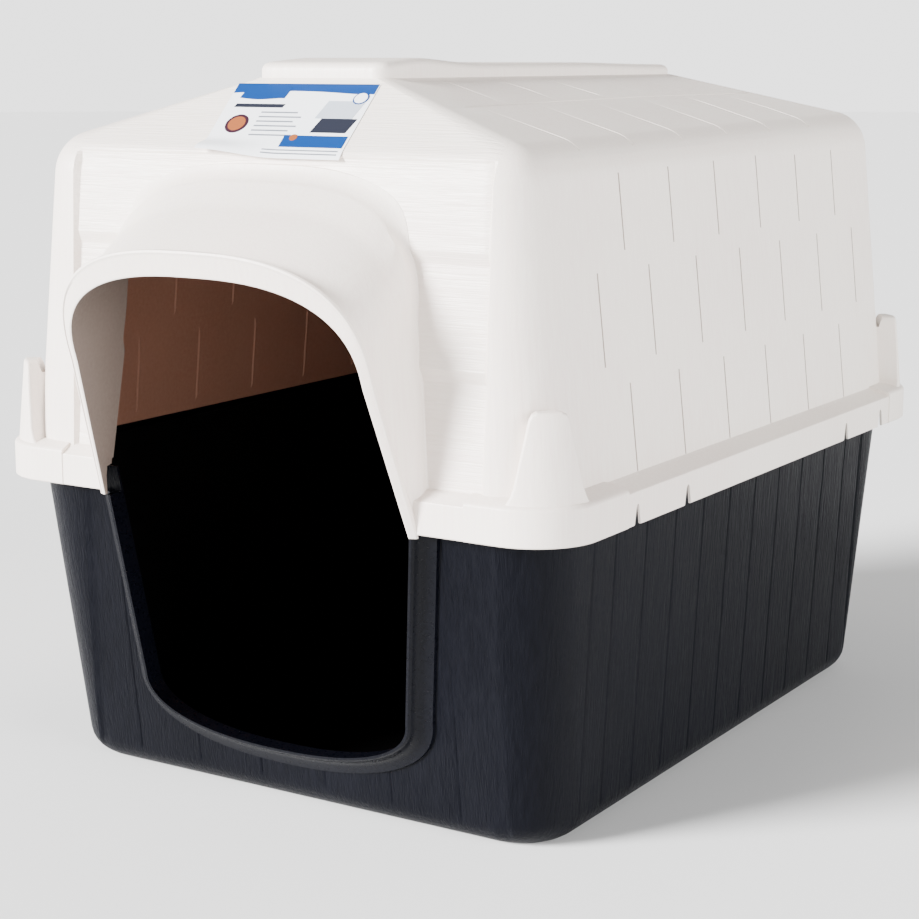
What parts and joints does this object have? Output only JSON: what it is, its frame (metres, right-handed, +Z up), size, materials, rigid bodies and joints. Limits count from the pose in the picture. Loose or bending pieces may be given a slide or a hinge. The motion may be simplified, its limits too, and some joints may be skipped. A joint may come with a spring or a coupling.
{
  "type": "dog kennel",
  "caption": "Moulded plastic kennel: tub base and lift-off barn roof with an arched hood over the doorway, held by snap tabs.",
  "frame": {"origin": "centre of the base's flat underside, on the floor", "axes": "+X to the kennel's left as it looks out of its doorway, which is the viewer's right from the front; the doorway faces -Y; +Z is up"},
  "size_m": [0.76, 1.0965, 0.822],
  "materials": {
    "base_plastic": "dark slate-blue moulded plastic with raised upright wood grain",
    "roof_plastic": "warm off-white moulded plastic, satin, with fine wood grain",
    "label_vinyl": "printed card under a clear gloss film"
  },
  "bodies": {
    "base": {"base_shell": "base_plastic"},
    "roof": {"roof_shell": "roof_plastic", "label_card": "label_vinyl"},
    "tab_front_left": {"tab_front_left": "roof_plastic"},
    "tab_front_right": {"tab_front_right": "roof_plastic"},
    "tab_rear_left": {"tab_rear_left": "roof_plastic"},
    "tab_rear_right": {"tab_rear_right": "roof_plastic"}
  },
  "joints": [
    {"name": "roof_lift", "type": "slide", "parent": "base", "child": "roof", "axis": [0, 0, 1], "range_m": [0, 0.45]},
    {"name": "tab_front_left_flex", "type": "hinge", "parent": "roof", "child": "tab_front_left", "pos_m": [-0.38, -0.275, 0.3792], "axis": [0, 1, 0], "range_deg": [0, 12], "stiffness_Nm_per_rad": 2},
    {"name": "tab_front_right_flex", "type": "hinge", "parent": "roof", "child": "tab_front_right", "pos_m": [0.38, -0.275, 0.3792], "axis": [0, -1, 0], "range_deg": [0, 12], "stiffness_Nm_per_rad": 2},
    {"name": "tab_rear_left_flex", "type": "hinge", "parent": "roof", "child": "tab_rear_left", "pos_m": [-0.38, 0.297, 0.3792], "axis": [0, 1, 0], "range_deg": [0, 12], "stiffness_Nm_per_rad": 2},
    {"name": "tab_rear_right_flex", "type": "hinge", "parent": "roof", "child": "tab_rear_right", "pos_m": [0.38, 0.297, 0.3792], "axis": [0, -1, 0], "range_deg": [0, 12], "stiffness_Nm_per_rad": 2}
  ]
}
